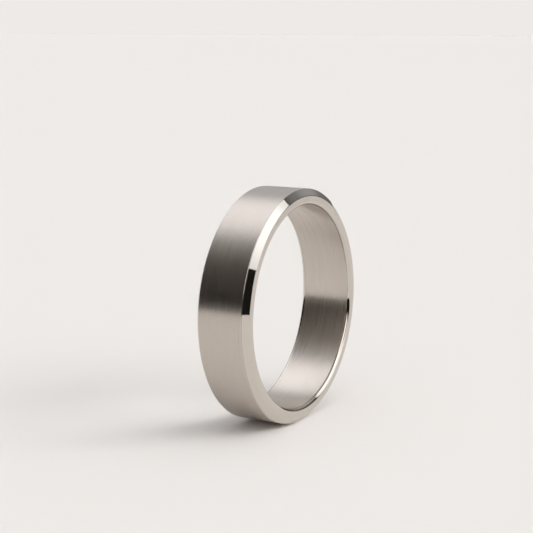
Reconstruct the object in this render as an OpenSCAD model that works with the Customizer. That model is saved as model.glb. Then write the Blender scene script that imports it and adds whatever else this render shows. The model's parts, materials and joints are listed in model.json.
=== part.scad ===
// Men's wedding band: brushed centre, polished bevels, satin sides, rounded inner edges.
// Four coaxial metal rings, pressed together. The ring stands on its rim:
// the finger axis runs along Y, Z is up, and the origin is the middle of the bore.

/* [Band] */
// Diameter of the finger bore
bore_d = 20.6; // [16:0.02:21.4]
// Diameter over the brushed centre
outer_d = 23.8; // [23.2:0.1:27]
// Width of the whole band, side face to side face
band_w = 5.8; // [5:0.1:8]

/* [Polished edges] */
// Width of the outer bevel, along the finger
bevel_w = 0.53; // [0.3:0.01:0.7]
// Drop of the outer bevel, towards the bore
bevel_drop = 0.69; // [0.3:0.01:0.8]
// Radius of the rounded inner edge
round_r = 0.39; // [0.2:0.01:0.5]

/* [Press joints] */
// Wall of the inner sleeve
sleeve_wall = 0.5; // [0.4:0.02:0.6]
// Wall of the tongue that each edge ring slides under the centre band
tongue_wall = 0.4; // [0.3:0.02:0.5]
// Length of that tongue
tongue_l = 1; // [0.6:0.1:1.2]
// Lead-in chamfer on the hidden corners of the tongues and the sleeve
lead_in = 0.1; // [0.05:0.01:0.15]

/* [Hidden] */
$fn = 180;

bore_r = bore_d / 2;
outer_r = outer_d / 2;
half_w = band_w / 2;
centre_half_w = half_w - bevel_w;       // where the brushed centre meets the bevel
bore_half_l = half_w - round_r;         // where the bore meets the rounded edge
sleeve_r = bore_r + sleeve_wall;        // seat that the other three rings press onto
tongue_r = sleeve_r + tongue_wall;
tongue_end = centre_half_w - tongue_l;  // how far from the middle the tongue reaches
face_outer_r = outer_r - bevel_drop;
face_inner_r = bore_r + round_r;
round_steps = 16;

// Turns a half section, given as [radius, place along the finger], about the Y axis
module turned(section) {
    rotate([-90, 0, 0])
        rotate_extrude()
            polygon(section);
}

// Quarter circle from the flat side face in to the bore
function round_edge() = [
    for (i = [0 : round_steps])
        let (a = 90 * i / round_steps)
            [face_inner_r - round_r * sin(a), bore_half_l + round_r * cos(a)]
];

// Thin tube that forms the brushed bore
module inner_sleeve() {
    color("#a69c91")
        turned([
            [bore_r, -bore_half_l],
            [sleeve_r - lead_in, -bore_half_l],
            [sleeve_r, -bore_half_l + lead_in],
            [sleeve_r, bore_half_l - lead_in],
            [sleeve_r - lead_in, bore_half_l],
            [bore_r, bore_half_l]
        ]);
}

// Brushed outer ring, rabbeted at both ends for the tongues
module centre_band() {
    color("#b3aaa0")
        turned([
            [outer_r, -centre_half_w],
            [outer_r, centre_half_w],
            [tongue_r, centre_half_w],
            [tongue_r, tongue_end],
            [sleeve_r, tongue_end],
            [sleeve_r, -tongue_end],
            [tongue_r, -tongue_end],
            [tongue_r, -centre_half_w]
        ]);
}

// Polished bevel, satin side face and rounded inner edge, on the +Y side
module edge_ring() {
    turned(concat(
        [
            [sleeve_r, bore_half_l],
            [sleeve_r, tongue_end],
            [tongue_r - lead_in, tongue_end],
            [tongue_r, tongue_end + lead_in],
            [tongue_r, centre_half_w],
            [outer_r, centre_half_w],
            [face_outer_r, half_w]
        ],
        round_edge()
    ));
}

module front_edge_ring() {
    color("#cfc7be")
        mirror([0, 1, 0])
            edge_ring();
}

module back_edge_ring() {
    color("#cfc7be")
        edge_ring();
}

inner_sleeve();
centre_band();
front_edge_ring();
back_edge_ring();
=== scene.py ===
"""Wedding band standing on its rim on a pale table, in soft studio light.

The finger axis runs along Y. Every ring of the band is a fine lathe mesh that stands for its CAD node.
"""

import json
import math

import bpy
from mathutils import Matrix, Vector


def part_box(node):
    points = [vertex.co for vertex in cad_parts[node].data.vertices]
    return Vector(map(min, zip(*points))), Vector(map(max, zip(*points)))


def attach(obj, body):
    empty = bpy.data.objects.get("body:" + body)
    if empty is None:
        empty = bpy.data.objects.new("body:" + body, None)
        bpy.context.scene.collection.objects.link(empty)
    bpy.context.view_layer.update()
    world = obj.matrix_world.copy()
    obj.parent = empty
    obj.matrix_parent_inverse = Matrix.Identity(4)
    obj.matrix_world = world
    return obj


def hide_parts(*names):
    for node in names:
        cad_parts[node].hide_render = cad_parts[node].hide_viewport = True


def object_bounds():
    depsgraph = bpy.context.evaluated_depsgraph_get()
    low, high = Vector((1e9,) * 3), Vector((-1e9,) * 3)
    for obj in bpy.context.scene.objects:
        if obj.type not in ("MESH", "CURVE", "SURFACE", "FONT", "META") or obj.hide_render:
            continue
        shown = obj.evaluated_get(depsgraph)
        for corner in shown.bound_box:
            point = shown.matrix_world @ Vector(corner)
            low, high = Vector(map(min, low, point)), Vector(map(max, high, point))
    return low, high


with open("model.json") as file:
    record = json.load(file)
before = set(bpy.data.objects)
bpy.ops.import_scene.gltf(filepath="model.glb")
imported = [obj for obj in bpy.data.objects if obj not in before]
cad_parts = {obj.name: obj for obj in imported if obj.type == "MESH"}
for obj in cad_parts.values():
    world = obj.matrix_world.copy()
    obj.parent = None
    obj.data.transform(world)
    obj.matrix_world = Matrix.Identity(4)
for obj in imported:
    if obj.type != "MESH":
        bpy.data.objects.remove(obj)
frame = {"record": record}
cad_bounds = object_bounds()

# ---------------------------------------------------------------- sizes, in metres

MM = 0.001
OUTER_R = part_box("centre_band")[1].z
CENTRE_HALF_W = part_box("centre_band")[1].y
HALF_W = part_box("back_edge_ring")[1].y
TONGUE_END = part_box("back_edge_ring")[0].y
SLEEVE_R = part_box("inner_sleeve")[1].z
BORE_HALF_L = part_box("inner_sleeve")[1].y
BORE_R = frame["record"]["mounts"][0]["dims"]["r_mm"] * MM

BEVEL_DROP = 0.69 * MM
TONGUE_WALL = 0.4 * MM
TONGUE_R = SLEEVE_R + TONGUE_WALL
FACE_OUTER_R = OUTER_R - BEVEL_DROP
ROUND_R = HALF_W - BORE_HALF_L
FACE_INNER_R = BORE_R + ROUND_R

# Radii of the small rounds that break the corners of the rings
SEAM_BREAK = 0.02 * MM       # where two rings meet flush
BAND_BREAK = 0.045 * MM      # on the brushed outside, beside the bevels
FACE_BREAK = 3 * BAND_BREAK  # between a bevel and its side face
HIDDEN_BREAK = 0.06 * MM     # inside the press joints

TURN_STEPS = 720             # facets round the band
ARC_STEPS = 6                # facets across a corner's break
ROUND_STEPS = 40             # facets across the rounded inner edge

TABLE_Z = cad_bounds[0].z
TABLE_NEAR = -0.15           # place along Y of the table's near edge; the bevels reflect it
TABLE_FAR = 4.0              # how far the table reaches to the sides and the back

# ---------------------------------------------------------------- lathe meshes


def corner_arc(before, here, after, size):
    """Points of the arc of radius size that rounds the corner at here."""
    into = (here - before).normalized()
    out = (after - here).normalized()
    turn = into.angle(out)
    reach = size * math.tan(turn / 2)
    start = here - into * reach
    side = 1 if into.x * out.y - into.y * out.x > 0 else -1
    centre = start + Vector((-into.y, into.x)) * size * side
    arm = start - centre
    arc = []
    for k in range(ARC_STEPS + 1):
        a = side * turn * k / ARC_STEPS
        swung_x = arm.x * math.cos(a) - arm.y * math.sin(a)
        swung_y = arm.x * math.sin(a) + arm.y * math.cos(a)
        arc.append(centre + Vector((swung_x, swung_y)))
    return arc


def rounded(corners):
    """Closed outline with its corners broken. A corner is (radius, place along Y, break, finish)
    and its finish covers the stretch that follows it. Returns [(radius, y, finish)]."""
    points = []
    for i, (r, y, size, finish) in enumerate(corners):
        if size == 0:
            points.append((r, y, finish))
            continue
        before = Vector(corners[i - 1][:2])
        after = Vector(corners[(i + 1) % len(corners)][:2])
        arc = corner_arc(before, Vector((r, y)), after, size)
        points += [(p.x, p.y, "edge") for p in arc[:-1]]
        points.append((arc[-1].x, arc[-1].y, finish))
    return points


def outline_normals(points):
    """Outward normal at each outline point. A long flat stretch outweighs the short arc beside it."""
    normals = []
    for i, (r, y, _) in enumerate(points):
        here = Vector((r, y))
        before = Vector(points[i - 1][:2])
        after = Vector(points[(i + 1) % len(points)][:2])
        total = Vector((0, 0))
        for step in (here - before, after - here):
            total += Vector((step.y, -step.x)).normalized() * step.length_squared
        normals.append(total.normalized())
    return normals


def turned_vertices(points):
    """Places and normals of the outline's points at every step of the turn about the Y axis."""
    places, normals = [], []
    outward = outline_normals(points)
    for t in range(TURN_STEPS):
        a = math.tau * t / TURN_STEPS
        for (r, y, _), n in zip(points, outward):
            places.append((r * math.cos(a), y, r * math.sin(a)))
            normals.append((n.x * math.cos(a), n.y, n.x * math.sin(a)))
    return places, normals


def turned_faces(points, order):
    """Faces between each step of the turn and the next, and the place in order of their finishes."""
    faces, slots = [], []
    count = len(points)
    for t in range(TURN_STEPS):
        u = (t + 1) % TURN_STEPS
        for i in range(count):
            j = (i + 1) % count
            faces.append((t * count + i, t * count + j, u * count + j, u * count + i))
            slots.append(order.index(points[i][2]))
    return faces, slots


def lathe(name, points, finishes):
    """Turns a closed outline about the Y axis, with exact normals. The outline runs anticlockwise
    as seen with the radius to the right and Y up. Finishes maps a finish to its material."""
    places, normals = turned_vertices(points)
    faces, slots = turned_faces(points, list(finishes))
    mesh = bpy.data.meshes.new(name)
    mesh.from_pydata(places, [], faces)
    mesh.polygons.foreach_set("material_index", slots)
    mesh.polygons.foreach_set("use_smooth", [True] * len(faces))
    for material in finishes.values():
        mesh.materials.append(material)
    mesh.update()
    mesh.normals_split_custom_set_from_vertices(normals)
    piece = bpy.data.objects.new(name, mesh)
    bpy.context.scene.collection.objects.link(piece)
    return piece


def round_edge_points():
    """The rounded inner edge, a quarter circle from the side face in to the bore."""
    points = []
    for k in range(ROUND_STEPS + 1):
        a = math.pi / 2 * k / ROUND_STEPS
        r = FACE_INNER_R - ROUND_R * math.sin(a)
        y = BORE_HALF_L + ROUND_R * math.cos(a)
        points.append((r, y, 0, "polish"))
    return points


def mirrored(points):
    """The same outline on the other side of the band, still running anticlockwise."""
    flipped = [(r, -y, finish) for r, y, finish in reversed(points)]
    finishes = [finish for _, _, finish in flipped]
    return [(r, y, finishes[(i + 1) % len(flipped)]) for i, (r, y, _) in enumerate(flipped)]


# ---------------------------------------------------------------- shader nodes


class Nodes:
    """Adds shader nodes to a tree and links them in one call."""

    def __init__(self, tree):
        self.tree = tree

    def add(self, kind, settings=None, **inputs):
        node = self.tree.nodes.new(kind)
        for key, value in (settings or {}).items():
            setattr(node, key, value)
        for key, value in inputs.items():
            self.plug(node.inputs[key.replace("_", " ")], value)
        return node

    def plug(self, socket, value):
        if isinstance(value, bpy.types.NodeSocket):
            self.tree.links.new(value, socket)
        else:
            socket.default_value = value

    def math(self, operation, a, b=0.0):
        node = self.add("ShaderNodeMath", {"operation": operation})
        self.plug(node.inputs[0], a)
        self.plug(node.inputs[1], b)
        return node.outputs[0]

    def weigh(self, a, b, share):
        """Weighted mean of a and b, in which b has the share given."""
        return self.math("ADD", self.math("MULTIPLY", a, 1 - share), self.math("MULTIPLY", b, share))

    def dot(self, a, b):
        node = self.add("ShaderNodeVectorMath", {"operation": "DOT_PRODUCT"})
        self.plug(node.inputs[0], a)
        self.plug(node.inputs[1], b)
        return node.outputs["Value"]

    def step(self, value, low, high, start=0.0, end=1.0):
        """Smooth step from start to end as value goes from low to high."""
        node = self.add("ShaderNodeMapRange", {"interpolation_type": "SMOOTHSTEP"})
        for socket, v in zip(node.inputs[:5], (value, low, high, start, end)):
            self.plug(socket, v)
        return node.outputs[0]

    def background(self, colour, strength):
        node = self.add("ShaderNodeBackground", Color=(*colour, 1), Strength=strength)
        return node.outputs[0]

    def choose(self, factor, otherwise, chosen):
        """The shader chosen where factor is 1, and the other one where it is 0."""
        node = self.add("ShaderNodeMixShader")
        for socket, v in zip(node.inputs, (factor, otherwise, chosen)):
            self.plug(socket, v)
        return node.outputs[0]


# ---------------------------------------------------------------- materials

OUTSIDE_COLOUR = (0.58, 0.525, 0.475)
# The bore is the same brushed steel as the outside, yet its colour is lighter: the steel's own colour
# plus painted light that stands in for how the bore is lit.
BORE_COLOUR_WITH_PAINTED_LIGHT = (0.67, 0.61, 0.555)
POLISHED_COLOUR = (0.63, 0.585, 0.535)
TABLE_COLOUR = (0.83, 0.8, 0.775)


def new_material(name):
    material = bpy.data.materials.new(name)
    material.use_nodes = True
    tree = material.node_tree
    tree.nodes.clear()
    nodes = Nodes(tree)
    shader = nodes.add("ShaderNodeBsdfPrincipled")
    shader.inputs["Metallic"].default_value = 1.0
    output = nodes.add("ShaderNodeOutputMaterial")
    nodes.plug(output.inputs["Surface"], shader.outputs[0])
    return material, nodes, shader


def streaks(nodes, along, across, detail):
    """Noise drawn out along the circumference: along and across are cycles a metre."""
    place = nodes.add("ShaderNodeTexCoord").outputs["Object"]
    stretch = nodes.add("ShaderNodeMapping", Vector=place, Scale=(along, across, along))
    noise = nodes.add("ShaderNodeTexNoise", Vector=stretch.outputs[0], Scale=1.0,
                      Detail=detail, Roughness=0.6)
    return noise.outputs[0]


def blotches(nodes, place, cycles, detail):
    """Noise that looks the same in every direction: cycles are those in a metre."""
    noise = nodes.add("ShaderNodeTexNoise", Vector=place, Scale=cycles, Detail=detail)
    return noise.outputs[0]


def add_relief(nodes, shader, height, depth):
    """Makes height the relief of the surface, depth metres from its lowest to its highest."""
    bump = nodes.add("ShaderNodeBump", Strength=1.0, Distance=depth, Height=height)
    nodes.plug(shader.inputs["Normal"], bump.outputs[0])


def brushed(name, colour, rough, depth):
    """Metal brushed round the circumference: long scratches, far finer than a hair, between which
    the metal is smoother, with a faint coarser grain over them."""
    material, nodes, shader = new_material(name)
    scratch = streaks(nodes, along=200, across=250000, detail=1)
    fine = streaks(nodes, along=220, across=40000, detail=2)
    broad = streaks(nodes, along=120, across=7000, detail=1)
    grain = nodes.weigh(fine, broad, share=0.15)
    tone = nodes.step(grain, low=0.3, high=0.7, start=0.985, end=1.015)
    tint = nodes.add("ShaderNodeVectorMath", {"operation": "SCALE"})
    tint.inputs[0].default_value = colour
    nodes.plug(tint.inputs["Scale"], tone)
    nodes.plug(shader.inputs["Base Color"], tint.outputs[0])
    roughness = nodes.step(scratch, low=0.4, high=0.6, start=rough[0], end=rough[1])
    nodes.plug(shader.inputs["Roughness"], roughness)
    shader.inputs["Anisotropic"].default_value = 0.9
    shader.inputs["Anisotropic Rotation"].default_value = 0.25
    tangent = nodes.add("ShaderNodeTangent", {"direction_type": "RADIAL", "axis": "Y"})
    nodes.plug(shader.inputs["Tangent"], tangent.outputs[0])
    add_relief(nodes, shader, grain, depth)
    return material


def polished(name, colour, rough, depth):
    """Mirror polish with a trace of waviness and hairline marks."""
    material, nodes, shader = new_material(name)
    marks = streaks(nodes, along=900, across=14000, detail=2)
    place = nodes.add("ShaderNodeTexCoord").outputs["Object"]
    wave = blotches(nodes, place, cycles=700, detail=1)
    shader.inputs["Base Color"].default_value = (*colour, 1)
    roughness = nodes.step(marks, low=0.5, high=0.72, start=rough[0], end=rough[1])
    nodes.plug(shader.inputs["Roughness"], roughness)
    add_relief(nodes, shader, wave, depth)
    return material


def turning_marks(nodes, place, cycles):
    """Noise in fine rings about the Y axis: cycles are those in a metre of radius."""
    parts = nodes.add("ShaderNodeSeparateXYZ", Vector=place)
    x_squared = nodes.math("POWER", parts.outputs["X"], 2.0)
    z_squared = nodes.math("POWER", parts.outputs["Z"], 2.0)
    radius = nodes.math("SQRT", nodes.math("ADD", x_squared, z_squared))
    noise = nodes.add("ShaderNodeTexNoise", {"noise_dimensions": "1D"},
                      W=nodes.math("MULTIPLY", radius, cycles), Scale=1.0, Detail=2.0)
    return noise.outputs[0]


def satin(name, colour, rough, depth):
    """Satin metal with faint turning marks round the axis."""
    material, nodes, shader = new_material(name)
    place = nodes.add("ShaderNodeTexCoord").outputs["Object"]
    line = turning_marks(nodes, place, cycles=30000)
    mottle = blotches(nodes, place, cycles=900, detail=2)
    shader.inputs["Base Color"].default_value = (*colour, 1)
    grain = nodes.weigh(line, mottle, share=0.4)
    roughness = nodes.step(grain, low=0.35, high=0.65, start=rough[0], end=rough[1])
    nodes.plug(shader.inputs["Roughness"], roughness)
    add_relief(nodes, shader, line, depth)
    return material


def matt_white(name, colour):
    material, _, shader = new_material(name)
    shader.inputs["Metallic"].default_value = 0.0
    shader.inputs["Base Color"].default_value = (*colour, 1)
    shader.inputs["Roughness"].default_value = 1.0
    shader.inputs["Specular IOR Level"].default_value = 0.0
    return material


# ---------------------------------------------------------------- table, light and camera
#
# Each kind of ray sees its own world. Glossy rays, which the metal sends, see soft boxes and glows in a
# dark room. Diffuse rays, which the table sends, see a dome and one soft box. Camera rays see a plain
# pale backdrop.
#
# A direction is (azimuth, elevation) in degrees: azimuth 0 is towards -Y and 90 towards +X. The camera
# is at azimuth -61, so 29 is on its right-hand side and 119 is behind the band.

CAMERA_PLACE = (-60.7, 10.22)
CAMERA_LENS = 91.25
CAMERA_NEAR = 0.01
CAMERA_DISTANCE = 11.54 * OUTER_R
AIM_ACROSS = -0.116 * OUTER_R     # how far the view is shifted from the middle of the bore
AIM_UP = 0.321 * OUTER_R

# Soft boxes: half sizes are at unit distance, and middle and rim are the brightness there
KEY_BOX = {"centre": (18.5, 47), "half_width": 0.5, "half_height": 0.475, "middle": 1.75, "rim": 1.2}
LOW_BOX = {"centre": (23, 11), "half_width": 0.42, "half_height": 0.2, "middle": 1.6, "rim": 1.4}
FILL_BOX = {"centre": (-38, 36), "half_width": 0.36, "half_height": 0.45, "middle": 1.7, "rim": 1.4}
TABLE_BOX = {"centre": (8, 35), "half_width": 0.42, "half_height": 0.2, "middle": 5.9, "rim": 4.9}
BOX_EDGE = 0.012                  # softness of a box's edge, as a share of its half size
BOX_FADE = 0.4                    # where a box starts to fade towards its rim
GRAZING = 0.001                   # smallest cosine that counts as in front of a box

# Glows: full level within the inside angle, nothing beyond the outside angle
HIGH_GLOW = {"centre": (136, 48), "outside": 63, "inside": 30, "level": 0.64}
GLOW_CORE = {"centre": (156, 55), "outside": 31, "inside": 6, "level": 0.97}
SIDE_GLOW = {"centre": (70, 25), "outside": 26, "inside": 8, "level": 0.2}
FLAG_EDGES = (64, 72)             # a flag dims the high glow from azimuth 0 up to this soft edge
FLAG_LEVEL = 0.42                 # what the flag lets through

DOME_TOP = (0, 50)                # the dome over the table is brightest here
DOME_EVEN = 0.35
DOME_GAIN = 0.74                  # what the dome gains at its brightest
ROOM_LEVEL = 0.014                # what the metal sees beyond the boxes and the glows

COOL = (0.985, 1.0, 1.03)
WARM = (1.0, 0.935, 0.86)
WHITE = (1.0, 1.0, 1.0)
BACKDROP = (0.856, 0.825, 0.8)


def bearing(azimuth, elevation):
    """Unit vector of a direction."""
    a, e = math.radians(azimuth), math.radians(elevation)
    return Vector((math.sin(a) * math.cos(e), -math.cos(a) * math.cos(e), math.sin(e)))


def right_of(azimuth):
    """Level unit vector at right angles to an azimuth, to the right as seen from there."""
    a = math.radians(azimuth)
    return Vector((math.cos(a), math.sin(a), 0))


def panel_glow(nodes, way, centre, half_width, half_height, middle, rim):
    """Brightness of a flat rectangular soft box far away, seen in direction way."""
    normal = bearing(*centre)
    across = right_of(centre[0])
    upward = across.cross(normal) * -1
    ahead = nodes.dot(way, normal)
    depth = nodes.math("MAXIMUM", ahead, GRAZING)
    u = nodes.math("ABSOLUTE", nodes.math("DIVIDE", nodes.dot(way, across), depth))
    v = nodes.math("ABSOLUTE", nodes.math("DIVIDE", nodes.dot(way, upward), depth))
    du = nodes.math("DIVIDE", u, half_width)
    dv = nodes.math("DIVIDE", v, half_height)
    inside_u = nodes.step(du, 1 - BOX_EDGE, 1 + BOX_EDGE, 1.0, 0.0)
    inside_v = nodes.step(dv, 1 - BOX_EDGE, 1 + BOX_EDGE, 1.0, 0.0)
    shape = nodes.math("MULTIPLY", inside_u, inside_v)
    front = nodes.math("GREATER_THAN", ahead, GRAZING)
    level = nodes.step(nodes.math("MAXIMUM", du, dv), BOX_FADE, 1.0, middle, rim)
    return nodes.math("MULTIPLY", nodes.math("MULTIPLY", shape, front), level)


def lobe(nodes, way, centre, outside, inside, level):
    """Brightness of a soft round glow, seen in direction way."""
    near = nodes.dot(way, bearing(*centre))
    low = math.cos(math.radians(outside))
    high = math.cos(math.radians(inside))
    return nodes.step(near, low, high, 0.0, level)


def flag(nodes, way):
    """What the flag lets through in direction way: all of it outside the flag."""
    parts = nodes.add("ShaderNodeSeparateXYZ", Vector=way)
    towards = nodes.math("MULTIPLY", parts.outputs["Y"], -1.0)
    azimuth = nodes.math("ARCTAN2", parts.outputs["X"], towards)
    low, high = (math.radians(edge) for edge in FLAG_EDGES)
    past = nodes.step(azimuth, low, high, FLAG_LEVEL, 1.0)
    other_side = nodes.math("LESS_THAN", azimuth, 0.0)
    return nodes.math("MAXIMUM", past, other_side)


def metal_light(nodes, way):
    """What the metal reflects: the cool boxes and glows, and the warm fill in a dark warm room."""
    key = panel_glow(nodes, way, **KEY_BOX)
    low = panel_glow(nodes, way, **LOW_BOX)
    fill = panel_glow(nodes, way, **FILL_BOX)
    high = nodes.math("ADD", lobe(nodes, way, **HIGH_GLOW), lobe(nodes, way, **GLOW_CORE))
    flagged = nodes.math("MULTIPLY", high, flag(nodes, way))
    glow = nodes.math("ADD", flagged, lobe(nodes, way, **SIDE_GLOW))
    cool = nodes.math("ADD", nodes.math("MAXIMUM", key, low), glow)
    warm = nodes.math("ADD", fill, ROOM_LEVEL)
    both = nodes.add("ShaderNodeAddShader")
    nodes.plug(both.inputs[0], nodes.background(COOL, cool))
    nodes.plug(both.inputs[1], nodes.background(WARM, warm))
    return both.outputs[0]


def table_light(nodes, way):
    """What lights the table: a dome that is brighter towards its top, and a soft box."""
    slope = nodes.math("MAXIMUM", nodes.dot(way, bearing(*DOME_TOP)), 0.0)
    dome = nodes.math("ADD", nodes.math("MULTIPLY", slope, DOME_GAIN), DOME_EVEN)
    box = panel_glow(nodes, way, **TABLE_BOX)
    return nodes.background(WHITE, nodes.math("ADD", box, dome))


def make_world():
    world = bpy.data.worlds.new("studio")
    world.use_nodes = True
    world.cycles.sampling_method = "NONE"
    bpy.context.scene.world = world
    world.node_tree.nodes.clear()
    nodes = Nodes(world.node_tree)
    way = nodes.add("ShaderNodeTexCoord").outputs["Generated"]
    ray = nodes.add("ShaderNodeLightPath").outputs
    lit = nodes.choose(ray["Is Diffuse Ray"], metal_light(nodes, way), table_light(nodes, way))
    seen = nodes.choose(ray["Is Camera Ray"], lit, nodes.background(BACKDROP, 1.0))
    output = nodes.add("ShaderNodeOutputWorld")
    nodes.plug(output.inputs["Surface"], seen)


def make_table():
    corners = [
        (-TABLE_FAR, TABLE_NEAR, TABLE_Z),
        (TABLE_FAR, TABLE_NEAR, TABLE_Z),
        (TABLE_FAR, TABLE_FAR, TABLE_Z),
        (-TABLE_FAR, TABLE_FAR, TABLE_Z),
    ]
    mesh = bpy.data.meshes.new("table")
    mesh.from_pydata(corners, [], [(0, 1, 2, 3)])
    mesh.materials.append(matt_white("table_white", TABLE_COLOUR))
    table = bpy.data.objects.new("table", mesh)
    bpy.context.scene.collection.objects.link(table)


def make_camera():
    """Long lens, a little above the band and well round to its outside."""
    back = bearing(*CAMERA_PLACE)
    right = right_of(CAMERA_PLACE[0])
    up = back.cross(right)
    camera = bpy.data.objects.new("camera", bpy.data.cameras.new("camera"))
    camera.data.lens = CAMERA_LENS
    camera.data.clip_start = CAMERA_NEAR
    camera.location = back * CAMERA_DISTANCE + right * AIM_ACROSS + up * AIM_UP
    camera.rotation_euler = back.to_track_quat("Z", "Y").to_euler()
    bpy.context.scene.collection.objects.link(camera)
    bpy.context.scene.camera = camera


# ---------------------------------------------------------------- the four rings

brushed_outside = brushed("brushed_outside", OUTSIDE_COLOUR, rough=(0.26, 0.36), depth=0.00004 * MM)
# The bore gets a lighter copy of the brushed steel, so its colour carries painted light as well as the
# steel's own colour.
brushed_bore = brushed("brushed_bore", BORE_COLOUR_WITH_PAINTED_LIGHT, rough=(0.24, 0.42), depth=0.00004 * MM)
mirror_polish = polished("mirror_polish", POLISHED_COLOUR, rough=(0.03, 0.08), depth=0.0002 * MM)
edge_polish = polished("edge_polish", POLISHED_COLOUR, rough=(0.1, 0.2), depth=0.0002 * MM)
satin_face = satin("satin_face", POLISHED_COLOUR, rough=(0.16, 0.24), depth=0.0001 * MM)


def make_sleeve():
    """Thin tube that forms the brushed bore."""
    corners = [
        (BORE_R, -BORE_HALF_L, SEAM_BREAK, "hidden"),
        (SLEEVE_R, -BORE_HALF_L, HIDDEN_BREAK, "hidden"),
        (SLEEVE_R, BORE_HALF_L, HIDDEN_BREAK, "hidden"),
        (BORE_R, BORE_HALF_L, SEAM_BREAK, "bore"),
    ]
    finishes = {"bore": brushed_bore, "edge": edge_polish, "hidden": satin_face}
    return lathe("inner_sleeve_brushed", rounded(corners), finishes)


def make_centre_band():
    """Brushed outer ring, rabbeted at both ends for the tongues."""
    corners = [
        (OUTER_R, -CENTRE_HALF_W, BAND_BREAK, "outside"),
        (OUTER_R, CENTRE_HALF_W, BAND_BREAK, "hidden"),
        (TONGUE_R, CENTRE_HALF_W, HIDDEN_BREAK, "hidden"),
        (TONGUE_R, TONGUE_END, HIDDEN_BREAK, "hidden"),
        (SLEEVE_R, TONGUE_END, HIDDEN_BREAK, "hidden"),
        (SLEEVE_R, -TONGUE_END, HIDDEN_BREAK, "hidden"),
        (TONGUE_R, -TONGUE_END, HIDDEN_BREAK, "hidden"),
        (TONGUE_R, -CENTRE_HALF_W, HIDDEN_BREAK, "hidden"),
    ]
    finishes = {"outside": brushed_outside, "edge": edge_polish, "hidden": satin_face}
    return lathe("centre_band_brushed", rounded(corners), finishes)


def edge_ring_outline():
    """Outline of the back ring: hidden tongue, bevel, side face, rounded inner edge and hidden lip."""
    corners = [
        (SLEEVE_R, BORE_HALF_L, HIDDEN_BREAK, "hidden"),
        (SLEEVE_R, TONGUE_END, HIDDEN_BREAK, "hidden"),
        (TONGUE_R, TONGUE_END, HIDDEN_BREAK, "hidden"),
        (TONGUE_R, CENTRE_HALF_W, HIDDEN_BREAK, "hidden"),
        (OUTER_R, CENTRE_HALF_W, SEAM_BREAK, "polish"),
        (FACE_OUTER_R, HALF_W, FACE_BREAK, "face"),
    ]
    corners += round_edge_points()
    corners[-1] = (*corners[-1][:3], "hidden")
    return rounded(corners)


def make_edge_ring(name, outline):
    finishes = {"polish": mirror_polish, "edge": edge_polish, "face": satin_face, "hidden": satin_face}
    return lathe(name, outline, finishes)


make_camera()
make_table()
make_world()

back_outline = edge_ring_outline()
front_outline = mirrored(back_outline)

for piece, node, slot in (
    (make_sleeve(), "inner_sleeve", "brushed_bore"),
    (make_centre_band(), "centre_band", "brushed_outer"),
    (make_edge_ring("back_edge_ring_polished", back_outline), "back_edge_ring", "polished_edge"),
    (make_edge_ring("front_edge_ring_polished", front_outline), "front_edge_ring", "polished_edge"),
):
    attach(piece, "root")
    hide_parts(node)

bpy.context.scene.view_settings.view_transform = "Standard"
